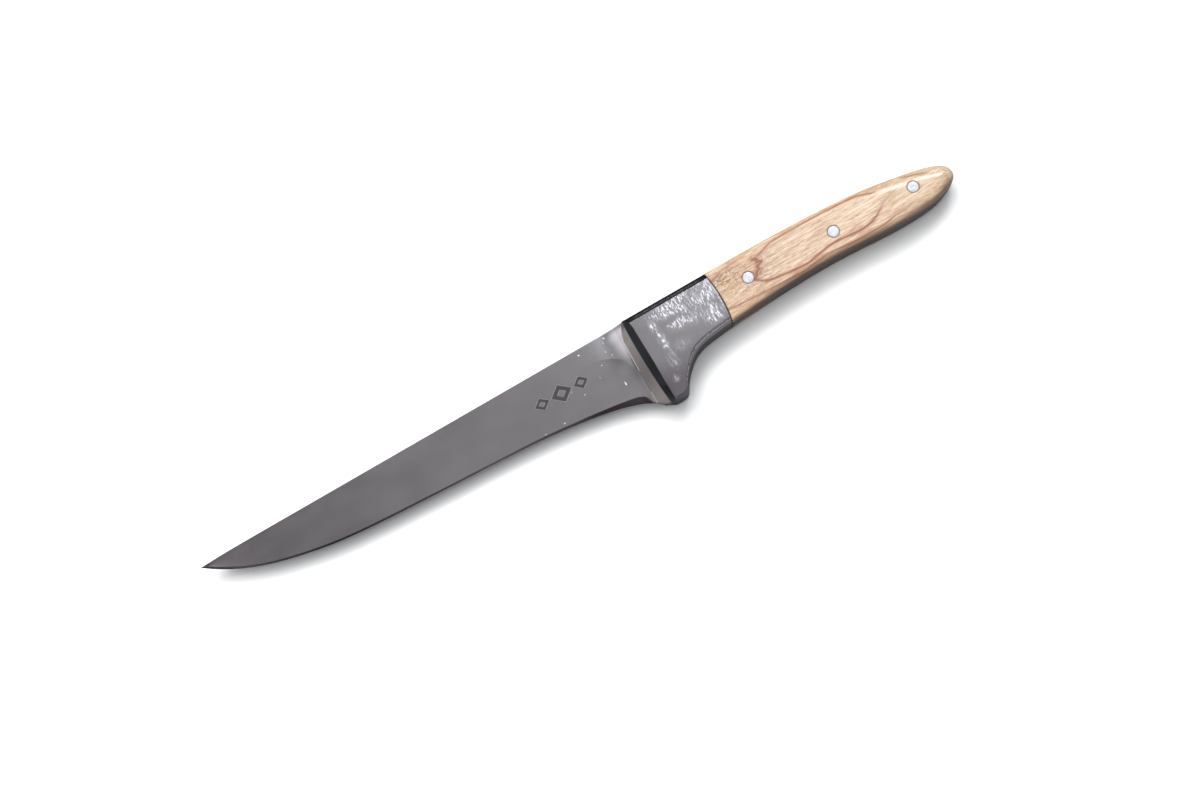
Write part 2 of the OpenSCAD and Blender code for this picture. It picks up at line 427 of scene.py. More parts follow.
def steel_columns():
    """Column places along the knife, closer where the shape is busy."""
    return np.concatenate([
        np.arange(0, 10, 0.25),
        np.arange(10, 120, 0.5),
        np.arange(120, SWEEP_START, 0.25),
        np.linspace(SWEEP_START, COLLAR_X, 48, endpoint=False),
        np.linspace(COLLAR_X, FACET_X, 16, endpoint=False),
        np.linspace(FACET_X, CHEEK_X, 14, endpoint=False),
        np.linspace(CHEEK_X, SWEEP_END, 40, endpoint=False),
        np.arange(SWEEP_END, SWING_START, 0.25),
    ])


# Row distances from the spine or from the bolster's underside, in mm, and from the cutting edge, in
# shares of the bevel's height
EDGE_ROWS = np.array([0, 0.05, 0.12, 0.22, 0.36, 0.54, 0.76, 1.02, 1.32, 1.62, 1.92])
BEVEL_ROWS = np.array([0, 0.12, 0.26, 0.4, 0.55, 0.7, 0.84, 0.95, 1.0, 1.04, 1.25])
INNER_ROWS = 96


def rows_at(x, top, low):
    """Heights of a column's points, from the top down."""
    tall = top - low
    upper = EDGE_ROWS * min(1, 0.3 * tall / EDGE_ROWS[-1])
    bevel = min(table(x, BEVEL), 0.5 * tall)
    on_bolster = smooth(x, COLLAR_X - 1.4, COLLAR_X + 0.4)
    lower = (1 - on_bolster) * BEVEL_ROWS * bevel + on_bolster * EDGE_ROWS
    lower = lower * min(1, 0.6 * tall / lower[-1])
    inner = np.linspace(top - upper[-1], low + lower[-1], INNER_ROWS + 2)[1:-1]
    return np.concatenate([top - upper, inner, low + lower[::-1]])


def round_off(half, gap, radius):
    """Half thickness with the outline's edge rounded to a radius."""
    radius = np.minimum(radius, 0.95 * half)
    inside = np.clip(1 - gap / radius, 0, 1)
    return half - radius * (1 - np.sqrt(np.clip(1 - inside**2, 0, 1)))


SPINE_BEVEL = 2.1
SPINE_BEVEL_DEEP = 1.55
SEAM_GROOVE = 0.18
SEAM_GROOVE_WIDE = 0.3
# Height that parts the upper edge's rounding from the lower edge's
MID_Y = -10


def spine_bevel(half, gap, x):
    """Half thickness under the flat bevel along the bolster's spine."""
    share = np.clip(1 - gap / SPINE_BEVEL, 0, 1)
    cut = HALF - SPINE_BEVEL_DEEP * share
    return np.where(x > COLLAR_X, np.minimum(half, cut), half)


def steel_rounding(x, y):
    """Edge rounding: full on the bolster's spine side, small at the toe, slight on the blade's spine."""
    upper = 0.12 + 0.25 * smooth(x, 160.5, 165)
    lower = 0.45 + 1.05 * smooth(x, 170, 180)
    lower = 0.02 + (lower - 0.02) * smooth(x, 159.2, 165)
    return np.where(y > MID_Y, upper, lower)


def groove(distance, wide):
    """Depth share of a rounded groove at a distance from its middle."""
    return np.clip(1 - distance / wide, 0, 1) ** 2


def forged_rows():
    """Drawing x and y of every point of a face, from the tip to the seam."""
    base = steel_columns()
    xs, ys = [], []
    for column in base:
        low = low_y(np.array([column]))
        for _ in range(3):
            low = low_y(swept_x(column, low))
        y = rows_at(column, float(spine_y(column)), float(low[0]))
        xs.append(swept_x(column, y))
        ys.append(y)
    # the last columns swing over to the seam's arc
    last_x, last_y = xs[-1], ys[-1]
    shares = (last_y - last_y[0]) / (last_y[-1] - last_y[0])
    seam_y = shares * SEAM_FOOT
    swing = np.concatenate([np.linspace(0, 1, 10)[1:-1], [0.93, 0.96, 0.985, 1]])
    for t in swing:
        xs.append((1 - t) * last_x + t * seam_at(seam_y))
        ys.append((1 - t) * last_y + t * seam_y)
    return np.array(xs), np.array(ys), shares


def tang_rows(shares):
    """Drawing x and y of the tang's points, with the same rows as the forging in front of it."""
    along = np.concatenate([[0.0, 0.004], np.linspace(0.02, 1, 150) ** 0.9])
    seam_y = shares * SEAM_FOOT
    tang = coons(
        resample(handle_top_path, along), resample(handle_low_path[::-1], along),
        np.stack([seam_at(seam_y), seam_y], axis=1), resample(butt_path, shares), along, shares,
    )
    return tang[:, :, 0], tang[:, :, 1]


def steel_piece():
    """Points and faces of the whole forging."""
    x, y, shares = forged_rows()
    half = steel_half(x, y, grind_side(x, y))
    gap_low, _ = distance_to(guard_path, x, y)
    gap_low = np.where(x < RIM_FROM, y - low_y(x), gap_low)
    gap = np.where(y > MID_Y, spine_y(x) - y, gap_low)
    half = spine_bevel(half, spine_y(x) - y, x)
    half = round_off(half, np.clip(gap, 0, None), steel_rounding(x, y))
    half = half - SEAM_GROOVE * groove(seam_at(y) - x, SEAM_GROOVE_WIDE)
    tang_x, tang_y = tang_rows(shares)
    tang_half = np.full(tang_x.shape, TANG_HALF)
    return close_rings(np.vstack([x, tang_x]), np.vstack([y, tang_y]), np.vstack([half, tang_half]))


def coons(top, low, start, end, along, shares):
    """Grid between four edge lines: top and low run along, start and end run across."""
    s = np.asarray(along)[:, None, None]
    t = np.asarray(shares)[None, :, None]
    across = (1 - t) * top[:, None, :] + t * low[:, None, :]
    down = (1 - s) * start[None, :, :] + s * end[None, :, :]
    corners = (
        (1 - s) * (1 - t) * start[0] + (1 - s) * t * start[-1]
        + s * (1 - t) * end[0] + s * t * end[-1]
    )
    return across + down - corners


# Places across the narrow outer wall, in shares of the half thickness
WALL = np.array([0.5, 0.0, -0.5])


def close_rings(x, y, half):
    """Rings round both faces of a plate with half thickness at each grid point, and two end caps."""
    rings, rows = x.shape
    low_wall = [(x[:, -1], y[:, -1], half[:, -1] * w) for w in WALL]
    top_wall = [(x[:, 0], y[:, 0], -half[:, 0] * w) for w in WALL]
    parts_x = [x, *[p[0][:, None] for p in low_wall], x[:, ::-1], *[p[0][:, None] for p in top_wall]]
    parts_y = [y, *[p[1][:, None] for p in low_wall], y[:, ::-1], *[p[1][:, None] for p in top_wall]]
    parts_z = [half, *[p[2][:, None] for p in low_wall], -half[:, ::-1], *[p[2][:, None] for p in top_wall]]
    ring_x, ring_y, ring_z = np.hstack(parts_x), np.hstack(parts_y), np.hstack(parts_z)
    count = ring_x.shape[1]
    points = np.stack([ring_x, ring_y, ring_z], axis=-1).reshape(-1, 3)
    quads = [list(q) for q in ring_quads(rings, count)]
    first = list(range(count))
    last = [(rings - 1) * count + j for j in range(count)]
    for ring, turn in ((first, False), (last, True)):
        for j in range(rows - 1):
            cap = [ring[j], ring[j + 1], ring[rows + 3 + rows - 2 - j], ring[rows + 3 + rows - 1 - j]]
            quads.append(cap if turn else cap[::-1])
        low_fan = [ring[rows - 1], ring[rows], ring[rows + 1], ring[rows + 2], ring[rows + 3]]
        top_fan = [ring[2 * rows + 2], ring[2 * rows + 3], ring[2 * rows + 4], ring[2 * rows + 5], ring[0]]
        quads.append(low_fan if turn else low_fan[::-1])
        quads.append(top_fan if turn else top_fan[::-1])
    return points, quads


# A plain etched mark of three open lozenges: place along the blade, half width and half height of each
MARK_CENTRE = (133.5, -10.2)
LOZENGES = [(0, 4.0, 3.3), (-7.4, 2.9, 2.3), (7.4, 2.9, 2.3)]


def etched_mark(x, y):
    """1 on the mark, 0 off it."""
    u = x - MARK_CENTRE[0]
    v = y - MARK_CENTRE[1]
    total = np.zeros(x.shape)
    for centre, wide, tall in LOZENGES:
        rim = np.abs(u - centre) / wide + np.abs(v) / tall
        total = np.maximum(total, 1 - smooth(rim, 0.94, 1.06))
        total = np.minimum(total, np.where(rim < 0.62, smooth(rim, 0.34, 0.44), 1))
    return total


# Small bright nicks on the blade and the cheek: x, y, size, stretch across the blade
NICKS = [
    (144.7, -2, 0.45, 1), (154.7, -1.2, 0.4, 1.2), (153.7, -2.3, 0.35, 1), (153, -5.5, 0.25, 1),
    (154.4, -7.5, 0.3, 1), (149.7, -8.8, 0.25, 1), (147.2, -12.1, 0.25, 1), (153.6, -18.1, 0.4, 2.2),
    (140.1, -14.5, 0.3, 1), (136.6, -11.6, 0.25, 1), (129.5, -19.5, 0.4, 1), (128.5, -12, 0.25, 1),
    (122.2, -19.5, 0.35, 1), (170.3, -7, 0.45, 2.4), (171.1, -10.8, 0.7, 1.6), (171.3, -13, 0.7, 1.2),
    (171.2, -15, 0.45, 1.6), (175.1, -9.6, 0.55, 1.3), (175.9, -5.9, 0.6, 1.2), (182.6, -11.9, 0.4, 1),
    (186.5, -5.7, 0.5, 2), (181.5, -6.6, 0.6, 1.5),
]


def nick_marks(x, y):
    """1 in a nick, 0 elsewhere."""
    total = np.zeros(x.shape)
    for cx, cy, size, stretch in NICKS:
        rim = np.hypot((x - cx) / (0.85 * size), (y - cy) / (0.95 * size * stretch))
        total = np.maximum(total, 1 - smooth(rim, 0.5, 1.1))
    return total


def painted_bolster_highlights(x, y):
    """Painted highlights as thin lines: along the spine's bevel and down the bolster's rear edge."""
    ridge = 0.45 * bell(y, -1.25, 0.3) * smooth(x, 164, 168) * smooth(-x, -194, -190)
    rear = 0.7 * bell(seam_at(y) - x, 0.75, 0.3) * smooth(y, -17, -12) * (y < -2)
    return np.maximum(ridge, rear)


def ricasso_polish_and_highlight(x, y):
    """How bright the ricasso is: a smoother polish above the grind line, plus a painted highlight in front of
    the collar and a painted light patch below the grind line there.
    """
    above = smooth(grind_side(x, y), -0.15, 0.25)
    flat = 0.2 * above * smooth(x, RICASSO_FROM, RICASSO_FULL)
    # painted highlight in front of the collar, and painted light below the grind line beside it
    flare = 0.8 * above * bell(x, 153.8, 3.2)
    below = 0.7 * bell(y, -13.5, 3.0) * smooth(x, 152, 157) * (1 - above)
    return np.clip(flat + flare + below, 0, 1)


# Behind this x there is only the handle
SEAM_END = 195

# Scuffed patches of the cheek: x, y, reach along, reach across, strength
SCUFFS = [
    (182, -4.5, 12, 3.0, 0.9), (191, -5.5, 4, 4, 1.0), (180, -10.5, 6, 2.2, 0.7), (190, -13, 3.6, 3.6, 0.9),
    (171.3, -12.5, 1.6, 4.2, 0.9), (170.5, -7, 1.5, 3.4, 0.7), (186, -9, 9, 5, 0.5), (171, -20, 2.5, 4, 0.4),
    (169, -26, 1.6, 1.6, 0.4), (176, -17, 5, 3, 0.3),
]


LEAST_WEAR = 0.1


def worn_cheek(x, y):
    """How strongly the cheek is scuffed at each point."""
    total = np.full(x.shape, LEAST_WEAR)
    for cx, cy, along, across, strength in SCUFFS:
        total = np.maximum(total, strength * bell(x, cx, along) * bell(y, cy, across))
    return total


# ---------------------------------------------------------------- scales

# Width and depth of the rounded edge along the top and along the bottom of the handle
TOP_WIDE = [(195, 1.7), (215, 2.6), (240, 3.8), (262, 5.2), (282.4, 5.6)]
TOP_DEEP = [(195, 1.5), (215, 2.1), (240, 2.8), (262, 3.4), (282.4, 3.7)]
LOW_WIDE = [(195, 1.3), (215, 1.7), (240, 2.0), (262, 2.5), (274, 4.0), (282.4, 5.6)]
LOW_DEEP = [(195, 0.9), (215, 1.0), (240, 1.1), (262, 1.4), (274, 2.4), (282.4, 3.7)]
# Slight fall of the cheek towards its outline
CROWN = 0.1
CROWN_WIDE = 9
# Grooves at the seam and round the pins
SCALE_GROOVE = 0.22
PIN_GROOVE = 0.2
PIN_GROOVE_WIDE = 0.4
BORE_GAP = 0.04
TANG_GAP = 0.01

# Growth-ring lines on the cheek as smooth curves: points, half width, strength, fades at start and end
FIGURE = [
    ([(207.5, -10.6), (208.9, -9.6), (209.0, -8.8), (210.6, -7.9), (210.4, -7.1), (212.6, -6.2),
      (210.9, -5.6),
      (211.6, -4.9), (210.0, -4.3)], 0.55, 1.0, 0, 0),
    ([(209.4, -10.4), (210.6, -9.2), (211.4, -7.9)], 0.6, 0.55, 0.2, 0.3),
    ([(207.5, -10.6), (209.4, -12), (211.5, -13.1), (216, -13.8), (224.5, -14.6), (229, -14), (236.5, -13),
      (244.5, -13.8), (249, -13.5), (252.4, -12.5), (255, -10.9), (257.5, -9.3), (260.5, -8),
      (264, -6.6)], 0.42, 1.0, 0, 0.3),
    ([(210.3, -4.4), (214.5, -3.3), (218, -2.3), (222, -2), (238, -2.2), (248, -2.7), (252, -3.6),
      (256, -5.1), (260, -6.2)], 0.36, 0.8, 0, 0.1),
    ([(195.5, -3.6), (200, -2.4), (206.5, -1.6), (214, -1.1)], 0.55, 0.5, 0, 0.5),
    ([(195, -14.8), (199.5, -15.3), (221, -16.2), (226, -15.9), (232.5, -15.3), (242, -16.1), (252, -16.2),
      (257, -15.5), (262, -15.2), (266.5, -15), (270.5, -13.9), (272.5, -12.5)], 0.34, 0.8, 0, 0.25),
    ([(195.5, -18.4), (204, -18), (213, -17.4)], 0.4, 0.45, 0, 0.6),
    ([(264, -17.3), (272, -16.8), (277, -15.4), (279.6, -14)], 0.34, 0.6, 0.3, 0.2),
    ([(264, -4.6), (268.5, -5.8), (272.5, -7.3), (275.8, -8.9)], 0.4, 0.7, 0.3, 0.3),
]


def figure_values(x, y):
    """Darkness of the figure lines at each point."""
    total = np.zeros(x.shape)
    for points, wide, strength, fade_in, fade_out in FIGURE:
        gap, where = distance_to(spline(points, 0.6), x, y)
        line = bell(gap, 0, 0.78 * wide) + 0.3 * bell(gap, 0, 2.4 * wide)
        if fade_in:
            line = line * smooth(where, 0, fade_in)
        if fade_out:
            line = line * (1 - smooth(where, 1 - fade_out, 1))
        total = np.maximum(total, strength * line)
    return total


# The closed figure in the middle of the cheek
LOOP = [
    (207.5, -10.6), (210.2, -7.8), (210.3, -4.4), (218, -2.3), (238, -2.2), (252, -3.6), (262, -6.6),
    (255, -10.9), (249, -13.5), (236.5, -13), (224.5, -14.6), (211.5, -13.1), (207.5, -10.6),
]


def inside_loop(x, y):
    """Near 1 inside the closed figure, near 0 outside."""
    path = np.array(LOOP)
    inside = np.zeros(x.shape, dtype=bool)
    for a, b in zip(path[:-1], path[1:]):
        crosses = (a[1] > y) != (b[1] > y)
        cut = a[0] + (y - a[1]) * (b[0] - a[0]) / np.where(b[1] == a[1], 1e-9, b[1] - a[1])
        inside ^= crosses & (x < cut)
    gap, _ = distance_to(path, x, y)
    signed = np.where(inside, gap, -gap)
    return smooth(signed, -0.8, 1.6)


def scale_rows(count):
    """Shares of the way across a scale, closer near both edges."""
    k = np.arange(count + 1) / count
    return 0.7 * 0.5 * (1 - np.cos(math.pi * k)) + 0.3 * k


SCALE_ROWS = 76
SCALE_COLUMNS = 320


def scale_grid():
    """Drawing x and y of a scale's face, closer near the seam and the butt, and its quads."""
    u = np.arange(SCALE_COLUMNS + 1) / SCALE_COLUMNS
    along = np.concatenate([[0, 0.0012, 0.0026], (0.42 * u + 0.58 * (1 - (1 - u) ** 2))[1:]])
    shares = scale_rows(SCALE_ROWS)
    start_y = shares * SEAM_FOOT
    grid = coons(
        resample(handle_top_path, along), resample(handle_low_path[::-1], along),
        np.stack([seam_at(start_y), start_y], axis=1), resample(butt_path, shares), along, shares,
    )
    n, m = grid.shape[:2]
    index = np.arange(n * m).reshape(n, m)
    corners = [index[:-1, :-1], index[1:, :-1], index[1:, 1:], index[:-1, 1:]]
    return grid[:, :, 0].ravel(), grid[:, :, 1].ravel(), np.stack(corners, axis=-1).reshape(-1, 4)


def open_bores(x, y, quads):
    """Moves the points inside a bore to its rim and drops the quads that lie wholly inside."""
    keep = np.ones(len(quads), dtype=bool)
    for px, py, radius in PINS:
        hole = radius + BORE_GAP
        reach = np.hypot(x - px, y - py)
        in_face = (reach < hole)[quads]
        whole = in_face.all(axis=1)
        cut = in_face.any(axis=1) & ~whole
        keep &= ~whole
        snap = np.unique(quads[cut][in_face[cut]])
        share = hole / np.maximum(reach[snap], 1e-6)
        x[snap] = px + (x[snap] - px) * share
        y[snap] = py + (y[snap] - py) * share
    return x, y, quads[keep]


def domed_height(x, y):
    """Height of a scale's outer face, with its rounded edge and its grooves."""
    gap, _ = distance_to(handle_outline, x, y)
    upper = smooth(y, -13, -9)
    wide = upper * table(x, TOP_WIDE) + (1 - upper) * table(x, LOW_WIDE)
    deep = upper * table(x, TOP_DEEP) + (1 - upper) * table(x, LOW_DEEP)
    inside = np.clip(1 - gap / wide, 0, 1)
    z = HALF - deep * (1 - np.sqrt(np.clip(1 - inside**2, 0, 1)))
    z = z - CROWN * groove(gap, CROWN_WIDE)
    z = z - SCALE_GROOVE * groove(x - seam_at(y), SEAM_GROOVE_WIDE)
    for px, py, radius in PINS:
        z = z - PIN_GROOVE * groove(np.hypot(x - px, y - py) - radius, PIN_GROOVE_WIDE)
    return z


def closed_shell(outer, quads):
    """Adds the flat inner face and the walls to an outer face, and drops points that no face uses."""
    inner = np.column_stack([outer[:, :2], np.full(len(outer), TANG_HALF + TANG_GAP)])
    count = len(outer)
    edges = {}
    for quad in quads.tolist():
        for a, b in zip(quad, quad[1:] + quad[:1]):
            if edges.pop((b, a), None) is None:
                edges[(a, b)] = True
    faces = quads.tolist() + (quads[:, ::-1] + count).tolist()
    faces += [[b, a, a + count, b + count] for a, b in edges]
    used = np.zeros(2 * count, dtype=bool)
    used[np.unique(faces)] = True
    renumber = np.cumsum(used) - 1
    return np.vstack([outer, inner])[used], [[int(renumber[i]) for i in face] for face in faces]


# Where the near scale's figure starts again, reversed in x and y, on the far scale
FAR_CUT = (480.4, -18.9)


def wood_values(x, y, side):
    """Per-point values that drive the wood: figure, heart, curl, painted shade towards the bottom edge, and
    painted shade at the seam and round the pins.
    """
    fig_x, fig_y = x, y
    if side < 0:
        # the far scale shows another cut of the same board
        fig_x = FAR_CUT[0] - x
        fig_y = FAR_CUT[1] - y
    near_seam = bell(fig_x, 197.5, 9) * bell(fig_y, -5.5, 4)
    near_pin = 0.55 * bell(fig_x, 206, 13) * bell(fig_y, -9, 6)
    below, _ = distance_to(handle_low_path, x, y)
    # painted shade: near-black rims at the seam and round the pins
    joint_shade = 0.8 * np.clip(1 - (x - seam_at(y)) / 0.35, 0, 1)
    for px, py, radius in PINS:
        rim = np.hypot(x - px, y - py) - radius
        joint_shade = np.maximum(joint_shade, 0.85 * np.clip(1 - (rim - BORE_GAP) / 0.4, 0, 1))
    return {
        "figure": figure_values(fig_x, fig_y),
        "loop": inside_loop(fig_x, fig_y),
        "curl": np.maximum(near_seam, near_pin),
        "shade": 0.75 * (1 - smooth(below, 0.2, 2.6)) * smooth(x, 196, 215),
        "joint_shade": joint_shade,
    }


def scale_piece(name, side):
    """One scale: domed outer face, flat inner face and three holes."""
    x, y, quads = open_bores(*scale_grid())
    points, faces = closed_shell(np.stack([x, y, domed_height(x, y)], axis=1), quads)
    values = wood_values(points[:, 0], points[:, 1], side)
    if side < 0:
        points = points * np.array([1, 1, -1])
    else:
        faces = [face[::-1] for face in faces]
    return make_mesh(name, points, faces, values, sharp_below=50)


# ---------------------------------------------------------------- pins


# Half a pin's outline from the centre outwards, drawn for a radius of 1.9: radius, height
PIN_DRAWN = 1.9
PIN_OUTLINE = [
    (0.0, HALF - 0.05), (0.1, HALF - 0.05), (0.22, HALF - 0.012), (0.32, HALF), (0.8, HALF),
    (1.2, HALF - 0.015), (1.55, HALF - 0.04), (1.75, HALF - 0.07), (1.85, HALF - 0.12),
    (PIN_DRAWN, HALF - 0.22), (PIN_DRAWN, 1.0),
]


def pin_piece(name, node):
    """A pin: a slightly domed disc at both ends with a fine punched centre."""
    px, py, radius = pin_centre(node)
    segments = 48
    profile = [(r * radius / PIN_DRAWN, z) for r, z in PIN_OUTLINE]
    profile = profile + [(r, -z) for r, z in profile[::-1]]
    points = [(px, py, profile[0][1])]
    for r, z in profile[1:-1]:
        for k in range(segments):
            a = 2 * math.pi * k / segments
            points.append((px + r * math.cos(a), py + r * math.sin(a), z))
    points.append((px, py, profile[-1][1]))
    faces = []
    rings = len(profile) - 2
    for k in range(segments):
        n = (k + 1) % segments
        faces.append((0, 1 + k, 1 + n))
        for i in range(rings - 1):
            a, b = 1 + i * segments, 1 + (i + 1) * segments
            faces.append((a + k, b + k, b + n, a + n))
        a = 1 + (rings - 1) * segments
        faces.append((a + k, len(points) - 1, a + n))
    return make_mesh(name, points, faces, sharp_below=40)


# ---------------------------------------------------------------- materials


class Nodes:
    """Short calls for building one node tree."""

    def __init__(self, tree):
        self.tree = tree
        tree.nodes.clear()

    def link(self, a, b):
        self.tree.links.new(a, b)

    def node(self, kind, **values):
        made = self.tree.nodes.new("ShaderNode" + kind)
        for key, value in values.items():
            setattr(made, key, value)
        return made

    def set(self, socket, value):
        """Links a socket, or sets its default value."""
        if isinstance(value, bpy.types.NodeSocket):
            self.link(value, socket)
        else:
            socket.default_value = value

    def coordinates(self):
        """Object coordinates in millimetres."""
        place_node = self.node("TexCoord")
        scaled = self.node("VectorMath", operation="SCALE")
        self.link(place_node.outputs["Object"], scaled.inputs[0])
        scaled.inputs["Scale"].default_value = 1 / MM
        return scaled.outputs[0]

    def mapped(self, vector, scale=(1, 1, 1), turn=0.0, move=(0, 0, 0)):
        made = self.node("Mapping")
        self.link(vector, made.inputs["Vector"])
        made.inputs["Scale"].default_value = scale
        made.inputs["Rotation"].default_value = (0, 0, turn)
        made.inputs["Location"].default_value = move
        return made.outputs[0]

    def noise(self, vector, scale, detail=3.0, rough=0.5, warp=0.0):
        made = self.node("TexNoise")
        self.link(vector, made.inputs["Vector"])
        made.inputs["Scale"].default_value = scale
        made.inputs["Detail"].default_value = detail
        made.inputs["Roughness"].default_value = rough
        made.inputs["Distortion"].default_value = warp
        return made.outputs["Fac"]

    def math(self, operation, a, b=0.0, clamp=False):
        made = self.node("Math", operation=operation, use_clamp=clamp)
        self.set(made.inputs[0], a)
        self.set(made.inputs[1], b)
        return made.outputs[0]

    def spread(self, value, low, high, to_low=0.0, to_high=1.0, kind="SMOOTHSTEP"):
        """Smooth map of a value from one range to another."""
        made = self.node("MapRange", interpolation_type=kind)
        self.set(made.inputs["Value"], value)
        made.inputs["From Min"].default_value = low
        made.inputs["From Max"].default_value = high
        made.inputs["To Min"].default_value = to_low
        made.inputs["To Max"].default_value = to_high
        return made.outputs[0]

    def mix(self, share, a, b, blend="MIX"):
        made = self.node("Mix", data_type="RGBA", blend_type=blend)
        self.set(made.inputs[0], share)
        self.set(made.inputs[6], a if isinstance(a, bpy.types.NodeSocket) else (*a, 1))
        self.set(made.inputs[7], b if isinstance(b, bpy.types.NodeSocket) else (*b, 1))
        return made.outputs[2]

    def attribute(self, name):
        return self.node("Attribute", attribute_name=name).outputs["Fac"]

    def bump(self, height, strength, distance):
        made = self.node("Bump")
        made.inputs["Strength"].default_value = strength
        made.inputs["Distance"].default_value = distance
        self.link(height, made.inputs["Height"])
        return made.outputs[0]

    def blend(self, share, a, b):
        """Mix of two shaders."""
        made = self.node("MixShader")
        for socket, value in zip(made.inputs, (share, a, b)):
            self.link(value, socket)
        return made.outputs[0]

    def even(self, kind):
        """A plain white emission or background."""
        made = self.node(kind)
        made.inputs["Color"].default_value = (1.0, 1.0, 1.0, 1)
        made.inputs["Strength"].default_value = 1.0
        return made.outputs[0]


class Shader(Nodes):
    """A new material with one surface node."""

    def __init__(self, name):
        self.material = bpy.data.materials.new(name)
        self.material.use_nodes = True
        super().__init__(self.material.node_tree)
        self.output = self.node("OutputMaterial")
        self.surface = self.node("BsdfPrincipled")
        self.link(self.surface.outputs[0], self.output.inputs["Surface"])


def steel_material():
    s = Shader("satin_steel")
    mm = s.coordinates()
    # fine satin lines across the blade, cloudy tone and pepper grain
    lines = s.noise(s.mapped(mm, (3.0, 0.25, 0.25)), 1.0, 4.0, 0.6)
    cloud = s.noise(s.mapped(mm, (0.05, 0.09, 0.09)), 1.0, 2.0)
    grain = s.noise(mm, 2.2, 2.0, 0.7)
    tone = s.mix(s.spread(cloud, 0.3, 0.7), (0.565, 0.52, 0.545), (0.61, 0.565, 0.59))
    tone = s.mix(s.spread(lines, 0.35, 0.65, 0.0, 0.1), tone, (0.50, 0.47, 0.49))
    tone = s.mix(s.spread(grain, 0.35, 0.7, 0.0, 0.12), tone, (0.70, 0.67, 0.69))
    # ricasso above the grind line: a smoother polish plus a painted highlight in front of the collar; the
    # collar facet painted darker, painted shade
    tone = s.mix(s.attribute("ricasso"), tone, (0.95, 0.92, 0.95))
    tone = s.mix(s.attribute("collar"), tone, (0.39, 0.345, 0.325))
    # painted shade: darker, purplish bevel, tip and toe; near-black painted shade lines and a painted dark
    # strip at the seam; and the etched mark
    tone = s.mix(s.attribute("bevel"), tone, (0.21, 0.165, 0.185))
    tone = s.mix(s.attribute("chamfer"), tone, (0.09, 0.09, 0.10))
    tone = s.mix(s.attribute("mark"), tone, (0.045, 0.045, 0.05))
    tone = s.mix(s.attribute("seam"), tone, (0.05, 0.045, 0.05))
    # polished cheek with swirling scratches and bright nicks; on the bolster the nick values also carry
    # painted highlights
    cheek = s.attribute("cheek")
    bent = s.noise(mm, 0.16, 1.0)
    swirl_a = s.noise(s.mapped(mm, (2.2, 0.55, 1), 0.3, (3, 7, 0)), 1.0, 3.0, 0.65, 0.7)
    swirl_b = s.noise(s.mapped(mm, (2.0, 0.5, 1), -0.5, (11, 2, 0)), 1.0, 3.0, 0.65, 0.8)
    patch = s.noise(s.mapped(mm, (0.16, 0.2, 1), 0.0, (5, 1, 0)), 1.0, 2.0, 0.6)
    scratch = s.math("MAXIMUM", s.spread(swirl_a, 0.48, 0.64), s.spread(swirl_b, 0.50, 0.66))
    scratch = s.math("MULTIPLY", scratch, s.spread(patch, 0.36, 0.56, 0.45, 1.0))
    scratch = s.math("MULTIPLY", scratch, s.spread(cheek, 0.0, 0.7, 0.0, 1.0))
    nick = s.math("MULTIPLY", s.attribute("nick"), s.spread(s.noise(mm, 2.6, 3.0, 0.7), 0.40, 0.58))
    bright = s.math("MAXIMUM", s.math("MULTIPLY", scratch, 0.85), nick, clamp=True)
    tone = s.mix(s.math("MULTIPLY", cheek, 0.75), tone, (0.78, 0.78, 0.86))
    tone = s.mix(bright, tone, (0.92, 0.92, 0.96))
    s.link(tone, s.surface.inputs["Base Color"])
    dull = s.math("MAXIMUM", s.attribute("mark"), bright, clamp=True)
    s.link(s.spread(dull, 0.0, 1.0, 1.0, 0.25), s.surface.inputs["Metallic"])
    rough = s.spread(cloud, 0.3, 0.7, 0.22, 0.26)
    rough = s.math("ADD", rough, s.math("MULTIPLY", s.attribute("mark"), 0.3))
    s.link(rough, s.surface.inputs["Roughness"])
    height = s.math("ADD", lines, s.math("MULTIPLY", s.math("MULTIPLY", bent, scratch), -0.8))
    s.link(s.bump(height, 0.003, 0.0002), s.surface.inputs["Normal"])
    return s.material


